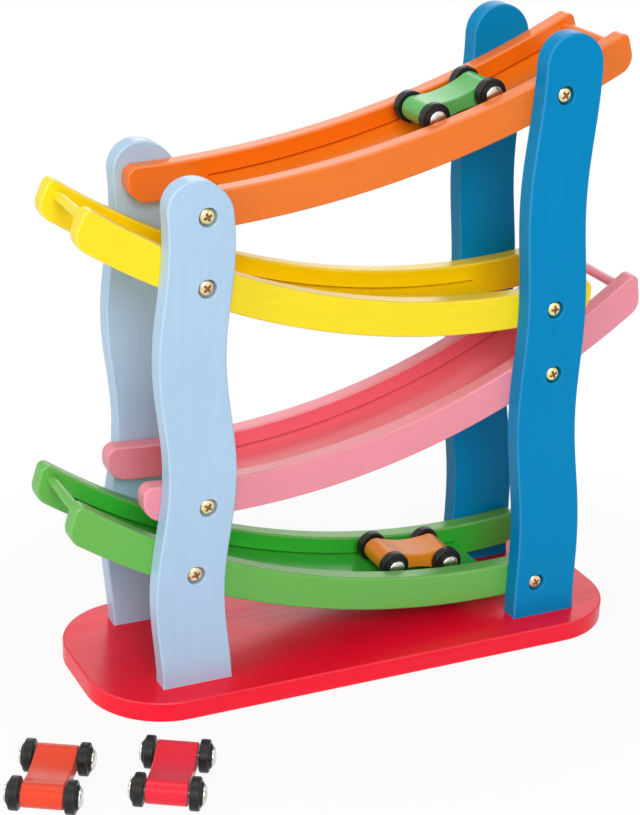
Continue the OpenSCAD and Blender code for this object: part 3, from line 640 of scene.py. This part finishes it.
def at_axle(shell, car, end, flank):
    """Places what follows on one of a car's axles, its level pointing out of the car."""
    turn, shift = CARS[car]
    axle = np.array([end * WHEELBASE / 2, 0, 0])
    return shell.at(turn @ np.diag([1.0, flank, 1.0]), shift + turn @ axle)


HUB_FACE = BODY_HALF + WHEEL_GAP + WHEEL_TREAD + HUB_HEIGHT + HUB_STEP


def car_nails(car):
    """Domed nails: shank and rim turned about the axle, closed by a round crown."""
    point, seat, rim = BODY_HALF - NAIL_SEAT, HUB_FACE + HEAD_CLEARANCE, RIM_SHARE * NAIL_HEAD_H
    rows = np.concatenate([
        moulding([(0, point, 0), (NAIL_R, point, 0), (NAIL_R, seat, 0), (NAIL_HEAD_R, seat, 0),
                  (NAIL_HEAD_R, seat + rim, 0)]),
        dome(NAIL_HEAD_R, seat + rim, NAIL_HEAD_H - rim)])
    shell = Shell()
    for end, flank in AXLES:
        at_axle(shell, car, end, flank).carry(AXIS, rows)
    return shell


def car_wheel(car, end, flank):
    """A moulded wheel turned about its axle: bore, round-shouldered tread and a hub in two steps."""
    bore, inner = NAIL_R + BORE_CLEARANCE, BODY_HALF + WHEEL_GAP
    step = (HUB_R + NAIL_HEAD_R) / 2
    face, hub = inner + WHEEL_TREAD, inner + WHEEL_TREAD + HUB_HEIGHT
    rows = moulding([
        (bore, HUB_FACE, 0), (bore, inner, 0), (WHEEL_R, inner, TREAD_ROUND), (WHEEL_R, face, TREAD_ROUND),
        (HUB_R, face, HUB_ROUND), (HUB_R, hub, HUB_ROUND), (step, hub, STEP_FOOT_ROUND),
        (step, HUB_FACE, STEP_ROUND), (bore, HUB_FACE, 0)])
    shell = Shell()
    at_axle(shell, car, end, flank).carry(FINE_AXIS, rows)
    return shell


class Wire:
    """A node's output that stands in a Python expression: each operator adds a Math node."""

    def __init__(self, finish, socket):
        self.finish, self.socket = finish, socket

    def _math(self, operation, left, right):
        """Joins two values or wires by a Math node."""
        return self.finish.node("ShaderNodeMath", {"operation": operation}, {0: left, 1: right})

    def __add__(self, other):
        return self._math("ADD", self, other)

    def __radd__(self, other):
        return self._math("ADD", other, self)

    def __sub__(self, other):
        return self._math("SUBTRACT", self, other)

    def __rsub__(self, other):
        return self._math("SUBTRACT", other, self)

    def __mul__(self, other):
        return self._math("MULTIPLY", self, other)

    def __rmul__(self, other):
        return self._math("MULTIPLY", other, self)


class Finish:
    """A material or a world under construction."""

    def __init__(self, owner):
        self.owner = owner
        owner.use_nodes = True
        self.tree = owner.node_tree
        self.tree.nodes.clear()

    def node(self, kind, settings=None, sockets=None, output=0):
        """Adds a node: its settings first, then the values or links of its sockets; gives one output."""
        node = self.tree.nodes.new(kind)
        for name, value in (settings or {}).items():
            if name == "stops":
                ramp = node.color_ramp
                while len(ramp.elements) < len(value):
                    ramp.elements.new(1)
                for element, (place, colour) in zip(ramp.elements, value):
                    element.position, element.color = place, (*colour, 1)
            else:
                setattr(node, name, value)
        for name, value in (sockets or {}).items():
            if isinstance(value, Wire):
                self.tree.links.new(value.socket, node.inputs[name])
            else:
                node.inputs[name].default_value = value
        return Wire(self, node.outputs[output]) if node.outputs else None

    def place(self, turn=(0, 0, 0), scale=(1, 1, 1)):
        """Object coordinates along axes turned by radians, and stretched along these for a pattern."""
        at = self.node("ShaderNodeTexCoord", output="Object")
        return self.node("ShaderNodeMapping", {"vector_type": "TEXTURE"},
                         {"Vector": at, "Rotation": turn, "Scale": tuple(1 / s for s in scale)})

    def noise(self, at, scale, detail=3, roughness=0.5):
        """Cloudy values of about 0 to 1 at a place."""
        return self.node("ShaderNodeTexNoise", {}, {"Vector": at, "Scale": scale, "Detail": detail,
                                                    "Roughness": roughness})

    def mark(self, name):
        """One of the marks that the mesh carries."""
        return self.node("ShaderNodeAttribute", {"attribute_name": name}, output="Fac")

    def ramp(self, value, *stops):
        """A value read through brightness stops (place, brightness)."""
        grey = [(place, (level, level, level)) for place, level in stops]
        return self.node("ShaderNodeValToRGB", {"stops": grey}, {"Fac": value})

    def mix(self, share, first, second):
        """Two colours mixed."""
        sockets = {0: share, 6: first if isinstance(first, Wire) else (*first, 1),
                   7: second if isinstance(second, Wire) else (*second, 1)}
        return self.node("ShaderNodeMix", {"data_type": "RGBA"}, sockets, 2)

    def scaled(self, colour, share):
        """A colour made lighter or darker by a value."""
        return self.node("ShaderNodeVectorMath", {"operation": "SCALE"}, {0: colour, "Scale": share})

    def bump(self, height, strength, distance):
        """Normals of a relief that is distance metres high."""
        sockets = {"Height": height, "Strength": strength, "Distance": distance}
        return self.node("ShaderNodeBump", {}, sockets)

    def surface(self, **sockets):
        """Closes the material with one shader; names use _ for a space."""
        named = {name.replace("_", " "): value for name, value in sockets.items()}
        shader = self.node("ShaderNodeBsdfPrincipled", {}, named)
        self.node("ShaderNodeOutputMaterial", {}, {"Surface": shader})
        return self.owner


def linear(red, green, blue):
    """A display colour of 0 to 255 as the linear colour that a shader takes."""
    c = np.array([red, green, blue]) / 255
    return tuple(float(x) for x in np.where(c <= 0.04045, c / 12.92, ((c + 0.055) / 1.055) ** 2.4))


# Patterns in cycles per metre: along and across the grain for its lines and pores, all ways for the rest.
GRAIN_LINES, GRAIN_PORES, PAINT_CLOUDS, PAINT_SPECKS = (18, 420, 420), (120, 2200, 2200), 38, 900
PLASTIC_CLOUDS, PLASTIC_SPECKS = 260, 2600
PLATING_TINT, PLATING_SPOTS, RUBBING_MARKS = 21, 330, (900, 90, 900)
# Slant of the rubbing marks, in radians.
RUBBING_TURN = (0.3, 0.2, 0.5)
# Height of the relief on paint, plastic and plating, in metres.
PAINT_RELIEF, PLASTIC_RELIEF, PLATING_RELIEF = 0.0003, 0.0002, 0.0001
# Colours of the clean plastic and of the dust on it.
PLASTIC_BLACK, PLASTIC_DUST = (0.012, 0.012, 0.012), (0.07, 0.065, 0.06)


def painted_wood(name, colour, grain=(0, 0, 0), gloss=0.25, deep=None):
    """Satin paint over sanded wood: faint grain lines and pores along the board, and pale edges that are
    partly thinner paint and partly a painted highlight.

    grain turns the pattern, in degrees. The last argument is painted shade: the fuller, more saturated tone
    that a ramp's channel takes for the shade and bounced light inside it.
    """
    finish = Finish(bpy.data.materials.new(name))
    turn = tuple(np.radians(grain))
    lines = finish.noise(finish.place(turn, GRAIN_LINES), 1.0, 4, 0.6)
    pores = finish.noise(finish.place(turn, GRAIN_PORES), 1.0, 2, 0.5)
    cloud = finish.noise(finish.place(), PAINT_CLOUDS, 3, 0.55)
    speck = finish.noise(finish.place(), PAINT_SPECKS, 2, 0.6)
    streak = finish.ramp(lines, (0.38, 0), (0.68, 1))
    # Painted shade: inside a ramp's channel the colour turns by the mesh's mark to a fuller, more saturated
    # tone.
    tone = finish.mix(finish.mark("deep"), colour, deep or colour)
    body = finish.scaled(tone, (0.94 + 0.08 * cloud) * (1 - 0.03 * streak))
    # Pale edges: partly thinner paint where the eased edges are rubbed, partly a painted highlight along
    # them.
    pale_wear_and_highlight = tuple(min(1, c * 0.8 + 0.16) for c in colour)
    worn_and_highlit = finish.mix(finish.mark("edge") * (0.08 + 0.30 * cloud), body, pale_wear_and_highlight)
    rough = 0.30 + 0.10 * (cloud - 0.5) + 0.06 * (lines - 0.5)
    relief = finish.bump(0.6 * lines + 0.25 * pores + 0.15 * speck, 0.12, PAINT_RELIEF)
    return finish.surface(Base_Color=worn_and_highlit, Roughness=rough, Normal=relief, Specular_IOR_Level=gloss,
                          Coat_Weight=0.8 * gloss * streak, Coat_Roughness=0.15)


def black_plastic():
    """Moulded satin plastic, a little dusty in its rounded corners."""
    finish = Finish(bpy.data.materials.new("wheel_black_plastic"))
    cloud = finish.noise(finish.place(), PLASTIC_CLOUDS, 4, 0.6)
    speck = finish.noise(finish.place(), PLASTIC_SPECKS, 2, 0.5)
    dust = (0.15 + 0.85 * finish.mark("edge")) * finish.ramp(cloud, (0.45, 0), (0.75, 1))
    colour = finish.mix(0.5 * dust, PLASTIC_BLACK, PLASTIC_DUST)
    rough = 0.34 + 0.25 * dust + 0.08 * (speck - 0.5)
    relief = finish.bump(0.5 * speck + 0.5 * cloud, 0.10, PLASTIC_RELIEF)
    return finish.surface(Base_Color=colour, Roughness=rough, Normal=relief, Specular_IOR_Level=0.25)


def plated_metal(name, bright, warm, rough, recess=None):
    """Plated metal whose tint wanders between two tones, with dull spots and fine rubbing marks.

    recess is the dull tone down in a drive recess.
    """
    finish = Finish(bpy.data.materials.new(name))
    tint = finish.ramp(finish.noise(finish.place(), PLATING_TINT, 3, 0.6), (0.40, 0), (0.60, 1))
    marks = finish.noise(finish.place(RUBBING_TURN, RUBBING_MARKS), 1.0, 3, 0.6)
    tarnish = finish.ramp(finish.noise(finish.place(), PLATING_SPOTS, 2, 0.5), (0.42, 0), (0.66, 1))
    colour = finish.scaled(finish.mix(tint, bright, warm), 1 - 0.35 * tarnish)
    metal, sheen = 1.0, rough + 0.12 * (marks - 0.5) + 0.15 * tarnish
    if recess:
        pit = finish.mark("edge")
        colour, metal, sheen = finish.mix(pit, colour, recess), 1 - 0.8 * pit, sheen + 0.3 * pit
    relief = finish.bump(marks, 0.05, PLATING_RELIEF)
    return finish.surface(Base_Color=colour, Metallic=metal, Roughness=sheen, Normal=relief)


UPWARDS, ACROSS_TABLE = (0, 90, 0), (0, 0, 90 - TABLE_HEADING)
FINISHES = {
    "base_red": painted_wood("red_base_paint", linear(250, 5, 46)),
    "light_blue": painted_wood("light_blue_paint", linear(178, 208, 236), UPWARDS),
    "dark_blue": painted_wood("dark_blue_paint", linear(0, 138, 196), UPWARDS, 0.06),
    # The second colour of each ramp is painted shade, for the shade and bounced light inside its channel.
    "ramp_orange": painted_wood("orange_ramp_paint", linear(243, 122, 38), deep=linear(240, 118, 12)),
    "ramp_yellow": painted_wood("yellow_ramp_paint", linear(255, 228, 29), deep=linear(255, 219, 2)),
    "ramp_pink": painted_wood("pink_ramp_paint", linear(244, 150, 166), deep=linear(246, 112, 130)),
    "ramp_green": painted_wood("green_ramp_paint", linear(108, 188, 82), deep=linear(60, 194, 60)),
    "car_green": painted_wood("green_car_paint", linear(98, 186, 96), (0, -GREEN_CAR_TILT, 0)),
    "car_orange": painted_wood("orange_car_paint", linear(255, 154, 40), (0, ORANGE_CAR_TILT, 0), 0.2),
    "car_coral": painted_wood("coral_car_paint", linear(236, 70, 40), ACROSS_TABLE),
    "car_red": painted_wood("red_car_paint", linear(238, 36, 58), ACROSS_TABLE),
    "screw_brass": plated_metal("yellow_zinc_screws", (0.96, 0.89, 0.42), (0.98, 0.70, 0.48), 0.22,
                                recess=(0.40, 0.20, 0.09)),
    "screw_steel": plated_metal("zinc_base_screws", (0.62, 0.61, 0.58), (0.55, 0.54, 0.50), 0.34),
    "nail_steel": plated_metal("bright_nails", (0.80, 0.78, 0.73), (0.74, 0.70, 0.62), 0.2),
    "wheel_black": black_plastic(),
}


def build():
    """Makes every piece of the toy in place of its node."""
    def make(shell, node, ending):
        shell.piece(f"{node}_{ending}", node)
    make(base_board(), "base", "board")
    make(base_screws(), "base_screws", "set")
    for word, depth in (("front", -1), ("back", 1)):
        for side in UPRIGHTS:
            make(upright_board(side, depth), f"{word}_{side}_upright", "board")
            make(ramp_screws(side, depth), f"{word}_{side}_screws", "set")
        for colour, ramp in RAMPS.items():
            make(rail_board(ramp, depth), f"{colour}_{word}_rail", "board")
    for colour, ramp in RAMPS.items():
        make(floor_board(ramp), f"{colour}_floor", "board")
        make(stop_dowel(ramp), f"{colour}_stop_dowel", "pin")
    for car in CARS:
        make(car_block(car), f"{car}_car_body", "block")
        make(car_nails(car), f"{car}_car_nails", "set")
        for fore, end in (("front", 1), ("rear", -1)):
            for hand, flank in (("left", 1), ("right", -1)):
                make(car_wheel(car, end, flank), f"{car}_car_{fore}_{hand}_wheel", "disc")


# The world's light on the toy, the table's grey and half the table's side in metres.
WORLD_LIGHT, TABLE_GREY, TABLE_REACH = 0.27, 0.86, 6.0
# The table's share of pure white at distances from the toy, which are scaled along x and y.
WHITE_STOPS, WHITE_SCALE = ((0.55, 0.9), (0.95, 1)), (3.6, 4.2, 1)
WHITE = (1, 1, 1, 1)
# Square lamps: place and aim in metres, side in metres and power in watts.
LAMPS = {
    "key": ((-0.5, -1.6, 1.1), (0, 0, 0.12), 0.9, 20),
    "side": ((-1.6, -0.4, 0.8), (0, 0, 0.12), 0.9, 10),
    "top": ((0.0, 0.1, 1.4), (0, 0, 0.1), 0.8, 4),
    "back": ((0.65, 1.3, 0.75), (0, 0, 0.12), 0.8, 3),
}
# The photograph's viewpoint: place in metres, tilt, roll and heading in degrees, lens and sensor in mm.
CAMERA_PLACE, CAMERA_TURN = (-0.371700, -0.719680, 0.443983), (67.497, -2.249, -25.475)
CAMERA_LENS, CAMERA_SENSOR = 89.448, 36


def seen_or_mirrored(finish):
    """1 for what the camera, a reflection or glass sees, 0 for the light that falls on the toy."""
    seen, mirrored, clear = (finish.node("ShaderNodeLightPath", output=f"Is {ray} Ray")
                             for ray in ("Camera", "Glossy", "Transmission"))
    return finish.node("ShaderNodeMath", {"operation": "MINIMUM"}, {0: seen + mirrored + clear, 1: 1.0})


def white_world():
    """White to the eye and in reflections, a softer white as light."""
    world = bpy.data.worlds.new("white_room")
    bpy.context.scene.world = world
    finish = Finish(world)
    share = seen_or_mirrored(finish)
    light = finish.node("ShaderNodeBackground", {}, {"Color": WHITE, "Strength": WORLD_LIGHT})
    white = finish.node("ShaderNodeBackground", {}, {"Color": WHITE, "Strength": 1.0})
    both = finish.node("ShaderNodeMixShader", {}, {0: share, 1: light, 2: white})
    finish.node("ShaderNodeOutputWorld", {}, {"Surface": both})


def pale_floor():
    """A plain white table top that keeps the toy's shadow near it and turns pure white further off."""
    finish = Finish(bpy.data.materials.new("pale_table"))
    share = seen_or_mirrored(finish)
    matt = finish.node("ShaderNodeBsdfDiffuse", {}, {"Color": (TABLE_GREY, TABLE_GREY, TABLE_GREY, 1)})
    white = finish.node("ShaderNodeEmission", {}, {"Color": WHITE, "Strength": 1.0})
    around = finish.place(scale=WHITE_SCALE)
    away = finish.node("ShaderNodeVectorMath", {"operation": "LENGTH"}, {0: around}, "Value")
    pure = finish.ramp(away, *WHITE_STOPS)
    shown = finish.node("ShaderNodeMixShader", {}, {0: pure, 1: matt, 2: white})
    both = finish.node("ShaderNodeMixShader", {}, {0: share, 1: matt, 2: shown})
    finish.node("ShaderNodeOutputMaterial", {}, {"Surface": both})
    mesh = bpy.data.meshes.new("table")
    corners = [(x * TABLE_REACH, y * TABLE_REACH, 0) for x, y in ((-1, -1), (1, -1), (1, 1), (-1, 1))]
    mesh.from_pydata(corners, [], [(0, 1, 2, 3)])
    table = bpy.data.objects.new("table", mesh)
    table.data.materials.append(finish.owner)
    bpy.context.scene.collection.objects.link(table)


def softbox(name, place, aim, size, power):
    """A square lamp that faces a point."""
    lamp = bpy.data.lights.new(name, "AREA")
    lamp.size, lamp.energy = size, power
    box = bpy.data.objects.new(name, lamp)
    box.location = place
    box.rotation_euler = (Vector(aim) - Vector(place)).to_track_quat("-Z", "Y").to_euler()
    bpy.context.scene.collection.objects.link(box)


def camera():
    """The photograph's viewpoint, as worked out from the board's edges in the picture."""
    lens = bpy.data.cameras.new("view")
    lens.sensor_width, lens.lens = CAMERA_SENSOR, CAMERA_LENS
    view = bpy.data.objects.new("view", lens)
    turn = Euler([np.radians(angle) for angle in CAMERA_TURN])
    view.matrix_world = Matrix.LocRotScale(Vector(CAMERA_PLACE), turn, None)
    bpy.context.scene.collection.objects.link(view)
    bpy.context.scene.camera = view


build()
white_world()
pale_floor()
for lamp_name, lamp_setting in LAMPS.items():
    softbox(lamp_name, *lamp_setting)
camera()
bpy.context.scene.view_settings.view_transform = "Standard"
